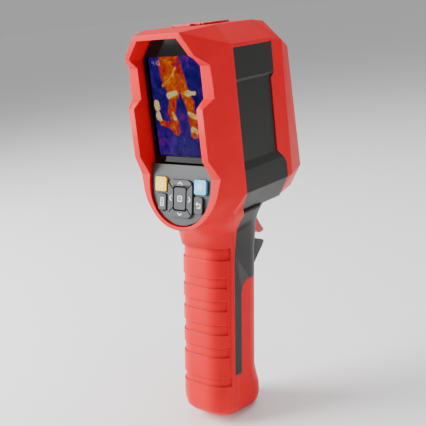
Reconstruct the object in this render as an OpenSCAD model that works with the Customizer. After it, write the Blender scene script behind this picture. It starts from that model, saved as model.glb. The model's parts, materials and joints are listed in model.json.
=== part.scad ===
// Hand-held thermal imaging camera with a pistol grip.
// X runs to the right as the user sees the display, Y runs forward to the target, Z runs up.
// The origin is the mouth of the tripod socket, in the middle of the grip's base.

/* [Head] */
// Height of the head from its chin to its top
head_h = 109; // [100:1:132]
// Width across the widest part of the head
head_w = 75.5; // [70:0.5:92]
// Depth from the display-side lip to the lens-side rim
head_d = 86; // [80:1:104]
// Distance from the tripod socket back to the display-side lip
lip_back = 18; // [15:1:22]
// Thickness of the moulded outer shells
shell_t = 2.4; // [2:0.1:3]
// Thickness of the inner frame's walls
frame_t = 2.2; // [1.8:0.1:2.8]

/* [Display] */
// Width of the display's picture
lcd_w = 43.2; // [36:0.1:46]
// Height of the display's picture
lcd_h = 57.6; // [48:0.1:60]
// Depth of the window below the lip
window_depth = 12; // [9:0.5:14]
// Half width of the well that the display sits in
well_half = 24; // [23:0.5:25]
// Thickness of the window pane
pane_t = 1.5; // [1:0.1:2]

/* [Keypad] */
// Tilt of the keypad, top edge away from the user
pad_tilt = 11.6; // [6:0.1:14]
// Width of a coloured key
key_w = 8.8; // [7:0.1:10]
// Height of a coloured key
key_h = 8.4; // [7:0.1:9]
// Gap between a key and its hole
key_gap = 0.25; // [0.2:0.01:0.3]
// How far a key moves when it is pressed
key_travel = 0.9; // [0.5:0.1:1]

/* [Grip] */
// Height of the grip from the tripod socket to the chin
grip_h = 127; // [112:1:145]
// Width of the grip
grip_w = 37; // [34:0.5:42]
// Depth of the grip
grip_d = 40.5; // [38:0.5:46]
// Lean of the grip, base towards the user
lean = 8.5; // [6:0.5:10]
// Width of the dark stripe between the two grip covers
stripe_w = 6.5; // [5:0.1:8]

/* [Trigger] */
// Width of the trigger
trigger_w = 13; // [11:0.5:15]
// Radius of the trigger's pivot pin
pin_r = 1.5; // [1.2:0.05:1.8]
// Running clearance of the pin in the trigger
pin_clear = 0.05; // [0.03:0.01:0.08]

/* [Optics] */
// Outer radius of the thermal lens barrel
barrel_r = 16; // [13:0.5:19]
// Radius of the visible-light camera's window
eye_r = 4.5; // [3.5:0.1:5.5]
// Radius of the lamp's lens
lamp_r = 4; // [3:0.1:5]

/* [Power and ports] */
// Radius of the battery cell
cell_r = 9.2; // [8:0.1:10.5]
// Length of the battery cell
cell_l = 65; // [55:1:72]
// Radius of the tripod socket's threaded bore
socket_r = 2.6; // [2.5:0.05:3.2]
// Depth of the tripod socket
socket_l = 9; // [7:0.5:11]
// Width of the rubber port cover
cover_w = 28; // [24:0.5:33]
// Length of the rubber port cover
cover_l = 27; // [24:0.5:30]

/* [Hidden] */

eps = 0.01;
slip = 0.1;
far = 400;

// Colours
red = "#d9262b";
charcoal = "#3b3936";
graphite = "#6e7073";
black = "#17181a";

// Places along Y
lip_y = -lip_back;
front_y = lip_y + head_d;
rear_seam_y = lip_y + 19.5;
front_seam_y = front_y - 34;
ridge_y = front_y - 22;
pane_y = lip_y + window_depth;
panel_y = front_y - 6;

// Heights, counted from the chin
chin_z = grip_h;
cover_rise = 1.2;
top_z = chin_z + head_h;
band_z = top_z - cover_rise;
side_low_z = chin_z + 14.5;
side_high_z = band_z - 11;
panel_high_z = side_high_z - 2;
lip_top_z = band_z - 2;
well_top_z = lip_top_z - 3;
notch_high_z = band_z - 20.4;
notch_low_z = band_z - 38.2;
pad_top_z = chin_z + 31.5;
pad_arc_z = chin_z + 20;
lcd_z = (pad_top_z + well_top_z) / 2 - 3.3;

// Half widths
half_w = head_w / 2;
body_half = half_w - 0.35;
chin_half = half_w - 12.5;
crown_half = half_w - 10;
lip_half = well_half + 4.4;
lip_crown_half = lip_half - 11;

cell_low = socket_l + 12;

// The lens keeps its share of the barrel
lens_r = 0.65625 * barrel_r;

// Depths
notch_depth = 6.8;
pad_dip = 6;
panel_t = 2.3;
front_tilt = 3;

// ---------- outlines in the X-Z plane ----------

// An outline mirrored to both sides of the middle, from a list for the right side, top first.
function both(side) = concat(side, [for (i = [len(side) - 1:-1:0]) [-side[i][0], side[i][1]]]);

module head_outline(inset = 0) {
    cut = inset * 0.42;
    polygon(both([
        [crown_half - cut, band_z - inset],
        [body_half - inset, side_high_z - cut],
        [body_half - inset, side_low_z + cut],
        [chin_half - cut, chin_z + inset]
    ]));
}

module ridge_outline(inset = 0) {
    cut = inset * 0.42;
    polygon(both([
        [crown_half - 2 - cut, band_z - 1.6 - inset],
        [half_w - inset, side_high_z - 2 - cut],
        [half_w - inset, side_low_z + 0.5 + cut],
        [chin_half + 0.5 - cut, chin_z + 0.6 + inset]
    ]));
}

module rim_outline(inset = 0) {
    cut = inset * 0.42;
    polygon(both([
        [half_w - 21 - cut, band_z - 5 - inset],
        [half_w - 8.2 - inset, band_z - 18 - cut],
        [half_w - 8.2 - inset, side_low_z + 1 + cut],
        [chin_half - 5 - cut, chin_z + 1.5 + inset]
    ]));
}

// The lip's outline: an octagon's top and sides that end in a half round below the keypad.
module lip_outline(inset = 0) {
    r = lip_half - 2.2 - inset;
    intersection() {
        polygon(both([
            [lip_crown_half - inset * 0.42, lip_top_z - inset],
            [lip_half - 1.8 - inset, lip_top_z - 12.6],
            [lip_half - inset, notch_low_z - 5],
            [lip_half - inset, pad_arc_z + 16],
            [r, pad_arc_z],
            [r, chin_z - 20]
        ]));
        union() {
            translate([0, pad_arc_z]) circle(r, $fn = 96);
            translate([-far / 2, pad_arc_z]) square([far, far]);
        }
    }
}

// The well that holds the display and the keypad.
module well_outline(grow = 0) {
    half = well_half + grow;
    polygon(both([
        [lip_crown_half - 2.4 + grow * 0.42, well_top_z + grow],
        [half, well_top_z - 11 + grow * 0.42],
        [half, pad_arc_z]
    ]));
    translate([0, pad_arc_z]) circle(half, $fn = 96);
}

// Stands an X-Z outline up, with its front face at y and its thickness behind it.
module upright(y, t) {
    translate([0, y, 0]) rotate([90, 0, 0]) linear_extrude(t) children();
}

// Extrudes a Y-Z outline across the whole width.
module across(x0, x1) {
    translate([x0, 0, 0]) rotate([90, 0, 90]) linear_extrude(x1 - x0) children();
}

module box(x0, x1, y0, y1, z0, z1) {
    translate([x0, y0, z0]) cube([x1 - x0, y1 - y0, z1 - z0]);
}

// A flat rounded rectangle made of squares and true arcs.
module round_rect(w, d, r) {
    square([w - 2 * r, d], center = true);
    square([w, d - 2 * r], center = true);
    for (sx = [-1, 1], sy = [-1, 1])
        translate([sx * (w / 2 - r), sy * (d / 2 - r)]) circle(r, $fn = 32);
}

// A rod along X, Y or Z with its middle or start at a point.
module rod_x(p, r, l, sides = 36) {
    translate(p) rotate([0, 90, 0]) cylinder(h = l, r = r, center = true, $fn = sides);
}
module rod_y(p, r, l) { translate(p) rotate([-90, 0, 0]) cylinder(h = l, r = r, $fn = 64); }

// ---------- the grip and neck ----------

// The grip's own frame leans forward from the tripod socket.
module in_grip() { rotate([-lean, 0, 0]) children(); }
function axis_y(z) = z * tan(lean);

grip_half = grip_w / 2;
grip_rear = -grip_d / 2;
grip_front = grip_d / 2;
toe = 5;
foot_h = 14;
slab_t = 0.3;
grip_round = 13;

// Sections of the grip: [height along the grip, half width, rear, front, corner radius].
grip_sections = [
    [0, grip_half - 4.5, grip_rear + 8, grip_front - 1.5, 9],
    [1.2, grip_half - 2.6, grip_rear + 4.8, grip_front + 1.5, 10.5],
    [3.6, grip_half - 1, grip_rear + 2, grip_front + toe - 1.2, 12],
    [8, grip_half - 0.2, grip_rear + 0.4, grip_front + toe, grip_round],
    [foot_h, grip_half, grip_rear, grip_front + toe - 0.6, grip_round],
    [20, grip_half, grip_rear, grip_front + 2, grip_round],
    [27, grip_half, grip_rear, grip_front, grip_round],
    [grip_h - 26, grip_half, grip_rear, grip_front, grip_round]
];

// Sections of the neck: [height below the chin, extra half width, rear, front, corner radius].
neck_sections = [
    [12, 1.6, axis_y(chin_z - 16) + grip_rear - 2.6, axis_y(chin_z) + grip_front - 0.8, 14.5],
    [8.5, 3.2, axis_y(chin_z - 16) + grip_rear - 6.4, axis_y(chin_z) + grip_front, 16],
    [5, 5.2, axis_y(chin_z - 16) + grip_rear - 10.6, axis_y(chin_z) + grip_front + 1.2, 18],
    [1.5, 7.6, lip_y + 1.2, axis_y(chin_z) + grip_front + 3, 20],
    [-3.2, 9.5, lip_y + 1.2, axis_y(chin_z) + grip_front + 4, 21],
    [-7, 9.5, lip_y + 1.2, axis_y(chin_z) + grip_front + 4, 21]
];

module section(half, rear, front, r, inset) {
    rr = min(r, half) - inset;
    for (sx = [-1, 1], y = [rear + inset + rr, front - inset - rr])
        translate([sx * (half - inset - rr), y]) circle(rr, $fn = 32);
}

// One section of the grip; near the foot an inner form is also lifted off the base.
module grip_slab(i, inset) {
    s = grip_sections[i];
    lift = inset * max(0, 1 - s[0] / foot_h);
    translate([0, 0, s[0] + lift]) linear_extrude(slab_t) hull() section(s[1], s[2], s[3], s[4], inset);
}

module neck_slab(i, inset) {
    s = neck_sections[i];
    translate([0, 0, chin_z - s[0]]) linear_extrude(slab_t)
        hull() section(grip_half + s[1], s[2], s[3], s[4], inset);
}

// The outer form of the grip and the neck, or the same form set in by a wall.
module grip_form(inset = 0) {
    in_grip() for (i = [0:len(grip_sections) - 2])
        hull() {
            grip_slab(i, inset);
            grip_slab(i + 1, inset);
        }
    hull() {
        in_grip() grip_slab(len(grip_sections) - 1, inset);
        neck_slab(0, inset);
    }
    for (i = [0:len(neck_sections) - 2])
        hull() {
            neck_slab(i, inset);
            neck_slab(i + 1, inset);
        }
}

// Where the dark stripe runs, in the grip's own frame.
stripe_rear = -7.5;
stripe_front = stripe_rear + stripe_w;
seam_v = stripe_rear + stripe_w / 2;
stripe_foot = 26;
front_top = grip_h - 43;
neck_seam_z = chin_z - 9;
neck_seam_y = axis_y(neck_seam_z) + stripe_rear;

// The side view of the region behind the stripe: the head above, the grip below.
module rear_region(gap = 0) {
    across(-far / 2, far / 2) polygon([
        [-far / 2, neck_seam_z],
        [neck_seam_y - gap, neck_seam_z],
        [neck_seam_y + 1.2 - gap, neck_seam_z + 6.5],
        [rear_seam_y - gap, side_low_z],
        [rear_seam_y - gap, far],
        [-far / 2, far]
    ]);
    in_grip() across(-far / 2, far / 2) polygon([
        [-far / 2, -far / 2], [seam_v - gap, -far / 2],
        [seam_v - gap, stripe_foot - gap], [stripe_rear - gap, stripe_foot - gap],
        [stripe_rear - gap, neck_seam_z + 2], [-far / 2, neck_seam_z + 2]
    ]);
}

// The side view of the red front grip cover.
module front_region(gap = 0) {
    in_grip() across(-far / 2, far / 2) polygon([
        [seam_v + gap, -far / 2], [far / 2, -far / 2], [far / 2, front_top - gap],
        [stripe_front + 6 + gap, front_top - gap],
        [stripe_front + 2 + gap, front_top - 2.5 - gap],
        [stripe_front + gap, front_top - 8 - gap],
        [stripe_front + gap, stripe_foot - gap], [seam_v + gap, stripe_foot - gap]
    ]);
}

module socket_hole() {
    in_grip() translate([0, 0, -1]) cylinder(h = shell_t + 2, r = boss_r + slip, $fn = 64);
}
boss_r = 7.5;

// ---------- red shells ----------

// Raised by the rib pitch along the grip: [height, height of the band, how far it wraps forward].
rib_bands = [
    [101.5, 7.5, 9.5], [84, 6.4, 7.5], [70, 6.4, 7.5], [55.5, 6.4, 8], [41.5, 6.2, 8.5], [23, 5.2, 10]
];
rib_depth = 0.8;

module rib_grooves() {
    for (b = rib_bands)
        in_grip() difference() {
            translate([0, 0, b[0] - b[1] / 2]) linear_extrude(b[1])
                difference() {
                    translate([-grip_w, grip_rear - 5]) square([2 * grip_w, 5 + b[2]]);
                    hull() section(grip_half, grip_rear, grip_front, grip_round, rib_depth);
                }
        }
}

// The profile behind which the lip is cut away, from the side.
module lip_profile() {
    across(-far / 2, far / 2) polygon([
        [-far, far], [lip_y, far], [lip_y, notch_high_z + 5.8],
        [lip_y + notch_depth, notch_high_z], [lip_y + notch_depth, notch_low_z],
        [lip_y, notch_low_z - 4.8], [lip_y, pad_top_z + 4.8],
        [lip_y + pad_dip, pad_top_z - 6.5], [lip_y + 0.6, chin_z - 3.5],
        [lip_y + 0.6, chin_z - 60], [-far, chin_z - 60]
    ]);
}

module rear_head(inset = 0) {
    hull() {
        upright(lip_y + inset + eps, eps) lip_outline(inset);
        upright(rear_seam_y, 1) head_outline(inset);
    }
}

// The head's body between the display side and the slanted seam under the side panels.
module rear_chin(inset = 0) {
    intersection() {
        upright(rear_seam_y + 12, 13) head_outline(inset);
        box(-far, far, -far, far, chin_z - 1, side_low_z);
    }
}

module rear_shell() {
    color(red) difference() {
        union() {
            difference() {
                rear_head();
                difference() {
                    intersection() {
                        rear_head(shell_t);
                        box(-far, far, lip_y + notch_depth + shell_t, far, -far, far);
                    }
                    upright(rear_seam_y + 1, far) well_outline(frame_t);
                }
            }
            difference() {
                intersection() {
                    rear_region();
                    union() {
                        grip_form();
                        rear_chin();
                    }
                }
                grip_form(shell_t);
                rear_head(shell_t);
                rear_chin(shell_t);
            }
        }
        upright(rear_seam_y + 1, far) well_outline();
        lip_profile();
        rib_grooves();
        socket_hole();
    }
}

module finger_grooves() {
    for (i = [0:3])
        in_grip() rod_x([0, grip_front + 27.4, 36 + i * 14], 28, 2 * grip_w);
}

module front_grip() {
    color(red) difference() {
        intersection() {
            grip_form();
            front_region();
        }
        grip_form(shell_t);
        finger_grooves();
        socket_hole();
    }
}

module top_band() {
    color(red) difference() {
        intersection() {
            upright(front_seam_y, front_seam_y - rear_seam_y) head_outline();
            box(-far, far, -far, far, panel_high_z + slip, far);
        }
        upright(far, 2 * far) head_outline(shell_t);
        port_well();
    }
}

module front_rim() {
    color(red) difference() {
        union() {
            hull() {
                upright(front_seam_y + 1, 1 - eps) head_outline(0.4);
                upright(ridge_y, 1) ridge_outline();
            }
            hull() {
                upright(ridge_y, 1) ridge_outline();
                rim_face() rim_outline();
            }
        }
        hull() {
            upright(front_seam_y + 1, 2) head_outline(shell_t + 0.4);
            upright(ridge_y, 1) ridge_outline(shell_t);
        }
        hull() {
            upright(ridge_y, 1) ridge_outline(shell_t);
            upright(panel_y - 2, 1) rim_outline(shell_t);
        }
        upright(panel_y - 2, far) rim_outline(shell_t - 1.4);
        upright(far, 2 * far) rim_outline(4);
        chin_region(slip);
        for (side = [0, 1])
            mirror([side, 0, 0]) across(body_half - panel_t - 0.3, far / 2) panel_outline(slip);
    }
}

// The rim's front face leans back as it rises.
module rim_face() {
    translate([0, front_y, chin_z]) rotate([90 + front_tilt, 0, 0])
        linear_extrude(0.5) translate([0, -chin_z]) children();
}

// ---------- the dark inner frame, in two halves ----------

frame_in = shell_t + slip;
cavity_in = frame_in + frame_t;
grip_screws = [[seam_v, cell_low + cell_l + 11], [seam_v - 8.2, 9.4]];
head_screws = [
    for (y = [rear_seam_y + 5, front_seam_y - 5], z = [side_low_z + 5, panel_high_z - 7]) [y, z]
];
boss_wall = 3.6;
tower_sides = 8;
neck_lap = 0.9;
screw_r = 1.25;
screw_head_r = 2.4;
screw_seat = 8;
screw_reach = 6;

// The side view of the chin, between the two red shells.
module chin_region(gap = 0) {
    across(-far / 2, far / 2) polygon([
        [rear_seam_y - gap, chin_z - 1], [front_seam_y + 14 + gap, chin_z - 1],
        [front_seam_y + 14 + gap, chin_z], [front_seam_y + 7.5 + gap, side_low_z + gap],
        [rear_seam_y - gap, side_low_z + gap]
    ]);
}

// The side view of a side panel: the lower block and the upper block reach further forward.
module panel_outline(gap = 0) {
    offset(delta = gap) polygon([
        [rear_seam_y + slip, side_low_z], [front_seam_y + 7.5, side_low_z],
        [front_seam_y + 7.5, side_low_z + 9], [front_seam_y + 6, side_low_z + 12],
        [front_seam_y - slip, side_low_z + 17.5], [front_seam_y - slip, panel_high_z - 20],
        [front_seam_y + 2.4, panel_high_z - 17.5], [front_seam_y + 2.4, panel_high_z],
        [rear_seam_y + slip, panel_high_z]
    ]);
}

// The finger guard below the trigger.
guard_z = chin_z - 31;
guard_y = axis_y(guard_z) + grip_front;
module guard_form() {
    hull() {
        across(-12.5, 12.5) polygon([
            [guard_y - 8, guard_z - 9], [guard_y - 8, guard_z + 5],
            [guard_y + 2, guard_z + 5], [guard_y - 1.5, guard_z - 9.5]
        ]);
        across(-9, 9) polygon([
            [guard_y + 8, guard_z + 1.5], [guard_y + 13.5, guard_z + 0.6], [guard_y + 14.6, guard_z - 0.8],
            [guard_y + 12.5, guard_z - 3.2], [guard_y + 6, guard_z - 6.5]
        ]);
    }
}

module frame_solid() {
    difference() {
        union() {
            difference() {
                union() {
                    intersection() {
                        upright(front_seam_y - slip, front_seam_y) head_outline(frame_in);
                        box(-far, far, -far, far, side_low_z - 1, far);
                    }
                    intersection() {
                        upright(front_seam_y + 20, far) head_outline();
                        chin_region();
                    }
                    difference() {
                        grip_form();
                        front_region(-slip);
                        box(-far, far, -far, far, chin_z + neck_lap, far);
                    }
                }
                rear_region(-slip);
            }
            difference() {
                grip_form(frame_in);
                box(-far, far, -far, far, neck_seam_z + 0.5, far);
            }
            guard_form();
        }
        intersection() {
            upright(far, 2 * far) head_outline(cavity_in);
            box(-far, far, rear_seam_y - 1, front_seam_y + 3.5, chin_z, far);
        }
        grip_form(cavity_in);
    }
    in_grip() cylinder(h = socket_l + 5, r = boss_r, $fn = 64);
}

// Screw towers that cross the frame from wall to wall.
module towers() {
    for (s = head_screws)
        rod_x([0, s[0], s[1]], boss_wall, 2 * (body_half - frame_in - 1), tower_sides);
    intersection() {
        in_grip() for (s = grip_screws)
            rod_x([0, s[0], s[1]], boss_wall, grip_w - 2 * frame_in - 1, tower_sides);
        grip_form(frame_in);
    }
}

module screw_holes() {
    for (s = head_screws) screw_hole(s);
    in_grip() for (s = grip_screws) screw_hole(s);
}

module screw_hole(s) {
    rod_x([0, s[0], s[1]], screw_r + slip, 2 * (screw_seat + 1));
    translate([-far / 2 - screw_seat, s[0], s[1]]) rod_x([0, 0, 0], screw_head_r + 2 * slip, far);
}

module frame_half(side) {
    color(charcoal) difference() {
        union() {
            intersection() {
                frame_solid();
                box(min(0, side * far), max(0, side * far), -far, far, -far, far);
            }
            intersection() {
                towers();
                box(min(0, side * far), max(0, side * far), -far, far, -far, far);
            }
            pin_ear(side);
        }
        screw_holes();
        trigger_slot();
        insert_seat();
        frame_port();
        rod_x([0, pivot_y, pivot_z], pin_r + 0.02, pin_l + 0.4);
    }
}

module frame_left() { frame_half(-1); }
module frame_right() { frame_half(1); }

// ---------- side panels ----------

recess = 1.1;
module side_panel(side) {
    color(black) intersection() {
        across(-far / 2, far / 2) panel_outline();
        translate([0, far / 2, 0]) rotate([90, 0, 0]) linear_extrude(far) scale([side, 1]) polygon([
            [body_half - panel_t, side_low_z + slip], [body_half, side_low_z + slip],
            [body_half, side_low_z + 12.8], [body_half - recess, side_low_z + 17.5],
            [body_half - recess, panel_high_z - 18.5], [body_half, panel_high_z - 17],
            [body_half, panel_high_z], [body_half - panel_t, panel_high_z]
        ]);
    }
}
module side_panel_left() { side_panel(-1); }
module side_panel_right() { side_panel(1); }

// ---------- display ----------

gasket_t = 0.8;
module_t = 2.4;
pane_gap = 0.15;

module display_window() {
    color(black) upright(pane_y + pane_t, pane_t) intersection() {
        well_outline(-pane_gap);
        translate([-far / 2, pad_top_z]) square(far);
    }
}

// The picture's rectangle with a margin, trimmed to the well.
module module_outline(wider, taller) {
    intersection() {
        translate([0, lcd_z]) square([lcd_w + wider, lcd_h + taller], center = true);
        well_outline(-2 * pane_gap);
    }
}

module display_gasket() {
    color("#242424") upright(pane_y + pane_t + gasket_t, gasket_t) difference() {
        module_outline(4, 4);
        translate([0, lcd_z]) square([lcd_w, lcd_h], center = true);
    }
}

module display_module() {
    color("#3a3f8f") upright(pane_y + pane_t + gasket_t + module_t, module_t)
        module_outline(4.4, 8);
}

ribbon_w = 16;
ribbon_t = 0.3;
module_back = pane_y + pane_t + gasket_t + module_t;
board_y = rear_seam_y + 1.5 + cover_l / 2;
board_t = 1.6;

module display_ribbon() {
    color("#c98a2b") across(-ribbon_w / 2, ribbon_w / 2) polygon([
        [module_back, lcd_z - 20], [module_back + ribbon_t, lcd_z - 20],
        [module_back + 5, lcd_z - 25], [board_y - 1, lcd_z - 25], [board_y, lcd_z - 24],
        [board_y, lcd_z - 26], [board_y - 1, lcd_z - 25 - ribbon_t],
        [module_back + 5, lcd_z - 25 - ribbon_t], [module_back, lcd_z - 21]
    ]);
}

// ---------- keypad ----------

pad_t = 2;
pad_mid_z = pad_arc_z - 8;
pad_y = lip_y + 5.3;
key_rise = 1.4;
flange_t = 0.9;
flange_gap = 0.15;
key_round = 1.2;
mat_t = 1.2;
key_board_t = 1.6;
nav_w = 18.8;
nav_h = 21.6;
set_w = 8.8;
set_h = 12.6;
nav_gap = 1;
side_key_w = 6;
side_key_in = 1.2;
side_key_h = 9.4;
column_x = 15.3;
coloured_row = 7.6;
lower_row = -2.8;

// The keypad's own frame: X across, Y up along the plate, Z out towards the user.
module on_pad() {
    translate([0, pad_y, pad_mid_z]) rotate([90 - pad_tilt, 0, 0]) children();
}

module pad_outline(inset) {
    intersection() {
        translate([0, (pad_arc_z - pad_mid_z) * 1.02]) union() {
            circle(well_half - inset, $fn = 96);
            translate([-well_half + inset, 0]) square([2 * (well_half - inset), far]);
        }
        translate([-far / 2, -far / 2]) square([far, far / 2 + pad_rise]);
    }
}
pad_rise = (pad_top_z - pad_mid_z - 0.6) / cos(pad_tilt);

// Outlines of the keys, each grown by a margin.
module square_key(x, y, w, h, grow) {
    translate([x, y]) round_rect(w + 2 * grow, h + 2 * grow, key_round + grow);
}

module nav_outer(grow) { round_rect(nav_w + 2 * grow, nav_h + 2 * grow, 4 + grow); }
module nav_inner(grow) { round_rect(set_w + 2 * (nav_gap + grow), set_h + 2 * (nav_gap + grow), 1.6 + grow); }

// One of four ring sectors, split along the diagonals.
module nav_key(turn, grow) {
    cut = 0.3 - grow;
    intersection() {
        difference() {
            nav_outer(grow);
            nav_inner(-grow);
        }
        rotate(turn) translate([0, cut * 1.42]) polygon([
            [0, 0], [nav_w * 1.15, nav_w * 1.15], [-nav_w * 1.15, nav_w * 1.15]
        ]);
    }
}

// A key's outline by name.
module key_outline(name, grow = 0) {
    if (name == "yellow") square_key(-column_x, coloured_row, key_w, key_h, grow);
    if (name == "blue") square_key(column_x, coloured_row, key_w, key_h, grow);
    if (name == "menu") square_key(-column_x + side_key_in, lower_row, side_key_w, side_key_h, grow);
    if (name == "back") square_key(column_x - side_key_in, lower_row, side_key_w, side_key_h, grow);
    if (name == "set") square_key(0, 0, set_w, set_h, grow);
    if (name == "up") nav_key(0, grow);
    if (name == "left") nav_key(90, grow);
    if (name == "down") nav_key(180, grow);
    if (name == "right") nav_key(270, grow);
}

KEYS = ["yellow", "blue", "menu", "back"];

// A key: its cap through the plate, and a thin flange that stops it from below.
module key(name, tint) {
    color(tint) on_pad() {
        translate([0, 0, -pad_t - flange_gap - flange_t])
            linear_extrude(pad_t + flange_gap + flange_t + key_rise) key_outline(name);
        if (name == "yellow" || name == "blue" || name == "menu" || name == "back")
            translate([0, 0, -pad_t - flange_gap - flange_t]) linear_extrude(flange_t)
                key_outline(name, 0.6);
    }
}

module key_yellow() { key("yellow", "#f3dc7a"); }
module key_blue() { key("blue", "#b9e2f2"); }
module key_menu() { key("menu", graphite); }
module key_back() { key("back", graphite); }
module key_set() { key("set", graphite); }
module key_up() { key("up", graphite); }
module key_down() { key("down", graphite); }
module key_left() { key("left", graphite); }
module key_right() { key("right", graphite); }

module keypad_bezel() {
    color(graphite) on_pad() difference() {
        translate([0, 0, -pad_t]) linear_extrude(pad_t) pad_outline(0.15);
        translate([0, 0, -far / 2]) linear_extrude(far) {
            for (k = KEYS) key_outline(k, key_gap);
            nav_outer(key_gap);
        }
    }
}

mat_top = pad_t + flange_gap + flange_t + key_travel + 0.2;
module key_mat() {
    color("#202224") on_pad() translate([0, 0, -mat_top - mat_t]) linear_extrude(mat_t) pad_outline(2);
}

module key_board() {
    color("#1f6b3a") on_pad() translate([0, 0, -mat_top - mat_t - key_board_t]) linear_extrude(key_board_t)
        pad_outline(2);
}

// ---------- electronics ----------

board_half = body_half - cavity_in - 2;
board_low_z = side_low_z + 2;
board_high_z = panel_high_z - 3;
board_screw_x = board_half - 4;

module main_board() {
    color("#1f6b3a") difference() {
        union() {
            box(-board_half, board_half, board_y, board_y + board_t, board_low_z, board_high_z);
            box(-10, 10, board_y, board_y + board_t, board_high_z - 1, deck_z - 1.5);
        }
        for (x = [-board_screw_x, board_screw_x], z = [board_low_z + 12, board_high_z - 14])
            rod_y([x, board_y - 1, z], 1.2, board_t + 2);
    }
}

module shield_can() {
    color("#b9bcc0") box(-14, 14, board_y + board_t, board_y + board_t + 3, lcd_z - 38, lcd_z - 14);
}

module board_screws() {
    color("#9a9da1") for (x = [-board_screw_x, board_screw_x], z = [board_low_z + 12, board_high_z - 14])
        rotate_screw([x, board_y, z]);
}

module rotate_screw(p) {
    rod_y([p[0], p[1] - 1.4, p[2]], 2, 1.4);
    rod_y([p[0], p[1], p[2]], 1, board_t + 2);
}

// ---------- ports and their cover ----------

cover_y0 = rear_seam_y + 3;
cover_mid = cover_y0 + cover_l / 2;
plug_depth = 2;
deck_z = band_z - shell_t;

// The hole in the top band that the cover's plug fills.
module port_well() {
    translate([0, cover_mid + 2, 0])
        linear_extrude(far) round_rect(cover_w - 7, cover_l - 9, 3);
    translate([0, 0, deck_z - 1]) linear_extrude(4) translate([0, cover_y0 + 1.6])
        square([10.2, 1.8], center = true);
}

// The opening through the inner frame below the cover.
module frame_port() {
    translate([0, cover_mid, deck_z - 8]) linear_extrude(far)
        square([cover_w - 3, cover_l - 2], center = true);
}

// The cover turns on a round bead along its rear edge.
cover_gap = 0.1;
bead_r = (cover_rise - cover_gap) / 2;
hinge_y = cover_y0 + 3.4 + bead_r;
hinge_z = top_z - bead_r;
flap_t = 2 * bead_r - 0.14;
module port_cover() {
    color(red) {
        translate([0, (hinge_y + cover_mid + cover_l / 2) / 2, hinge_z - flap_t / 2])
            linear_extrude(flap_t) round_rect(cover_w, cover_mid + cover_l / 2 - hinge_y, 3);
        rod_x([0, hinge_y, hinge_z], bead_r, cover_w - 7);
        translate([0, cover_mid + 1.8, band_z - plug_depth]) linear_extrude(plug_depth + 0.2)
            round_rect(cover_w - 7.6, cover_l - 10, 2.7);
    }
}

module cover_anchor() {
    color(red) {
        translate([-6, cover_y0, band_z]) cube([12, 3.2, cover_rise]);
        translate([-5, cover_y0 + 0.8, deck_z]) cube([10, 1.6, shell_t + 0.2]);
    }
}

module usb_port() {
    color("#a9adb1") difference() {
        translate([0, board_y - 1.65, deck_z - 8.6]) linear_extrude(7.6) round_rect(9, 3.3, 1.6);
        translate([0, board_y - 1.65, deck_z - 7.6]) linear_extrude(far) round_rect(8.4, 2.7, 1.3);
    }
}

module card_slot() {
    color("#a9adb1") difference() {
        translate([-7, board_y + board_t, deck_z - 16]) cube([14, 3, 15]);
        translate([-5.6, board_y + board_t + 0.9, deck_z - 15.2]) cube([11.2, 1.2, 20]);
    }
}

module memory_card() {
    color(black) translate([-5.5, board_y + board_t + 1, deck_z - 15]) cube([11, 1, 15]);
}

// ---------- optics ----------

optic_z = chin_z + 60;
barrel_back = panel_y - 16;
barrel_front = front_y - 2.4;
side_eye_x = 12.5;
side_eye_z = optic_z + 27;
panel_plate_t = 2.2;
panel_front = panel_y - 2.1;

module front_panel() {
    color(black) difference() {
        upright(panel_front, panel_plate_t) rim_outline(1.6);
        rod_y([0, panel_front - 5, optic_z], barrel_r + slip, 10);
        rod_y([-side_eye_x, panel_front - 5, side_eye_z], eye_r + slip, 10);
        rod_y([side_eye_x, panel_front - 5, side_eye_z], lamp_r + slip, 10);
    }
}

// A ring turned about the thermal lens axis: pairs of radius and distance from the barrel's back.
module turned(profile) {
    translate([0, barrel_back, optic_z]) rotate([-90, 0, 0]) rotate_extrude($fn = 96) polygon(profile);
}

barrel_l = barrel_front - barrel_back;
seat_r = lens_r + 1.6;
module lens_barrel() {
    color("#2a2b2d") turned([
        [seat_r - 3, 0], [barrel_r - 1.5, 0], [barrel_r - 1.5, 6], [barrel_r, 6], [barrel_r, barrel_l - 1],
        [barrel_r - 1, barrel_l], [seat_r + 1.6, barrel_l], [seat_r + 0.3, barrel_l - 3],
        [seat_r + 0.3, barrel_l - 8.5], [seat_r - 3, barrel_l - 8.5]
    ]);
}

module lens_ring() {
    color("#45484c") turned([
        [lens_r - 0.3, barrel_l - 5.2], [seat_r + 0.2, barrel_l - 5.2], [seat_r + 0.2, barrel_l - 3],
        [seat_r - 0.6, barrel_l - 3], [lens_r - 0.3, barrel_l - 4.4]
    ]);
}

// A meniscus with a convex front.
lens_bulge = 1.6;
bulge_r = (lens_r * lens_r + lens_bulge * lens_bulge) / (2 * lens_bulge);
module germanium_lens() {
    color("#4b4e55") turned(concat(
        [
            [0, barrel_l - 8.4], [seat_r, barrel_l - 8.4],
            [seat_r, barrel_l - 5.3], [lens_r - 0.4, barrel_l - 5.3]
        ],
        [for (i = [1:7]) let (r = (lens_r - 0.4) * (1 - i / 7))
            [r, barrel_l - 5.3 + sqrt(bulge_r * bulge_r - r * r) - (bulge_r - lens_bulge)]]
    ));
}

core_w = 26;
module thermal_core() {
    color("#7d8186") {
        box(
            -core_w / 2, core_w / 2, barrel_back - 9, barrel_back - 1,
            optic_z - core_w / 2, optic_z + core_w / 2
        );
        rod_y([0, barrel_back - 1, optic_z], seat_r - 3.2, 6);
    }
}

module camera_module() {
    color("#26282b") {
        box(-side_eye_x - 4.4, -side_eye_x + 4.4, panel_front - 12, panel_front - 5,
            side_eye_z - 4.4, side_eye_z + 4.4);
        rod_y([-side_eye_x, panel_front - 5, side_eye_z], 3, 2.5);
    }
}

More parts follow.
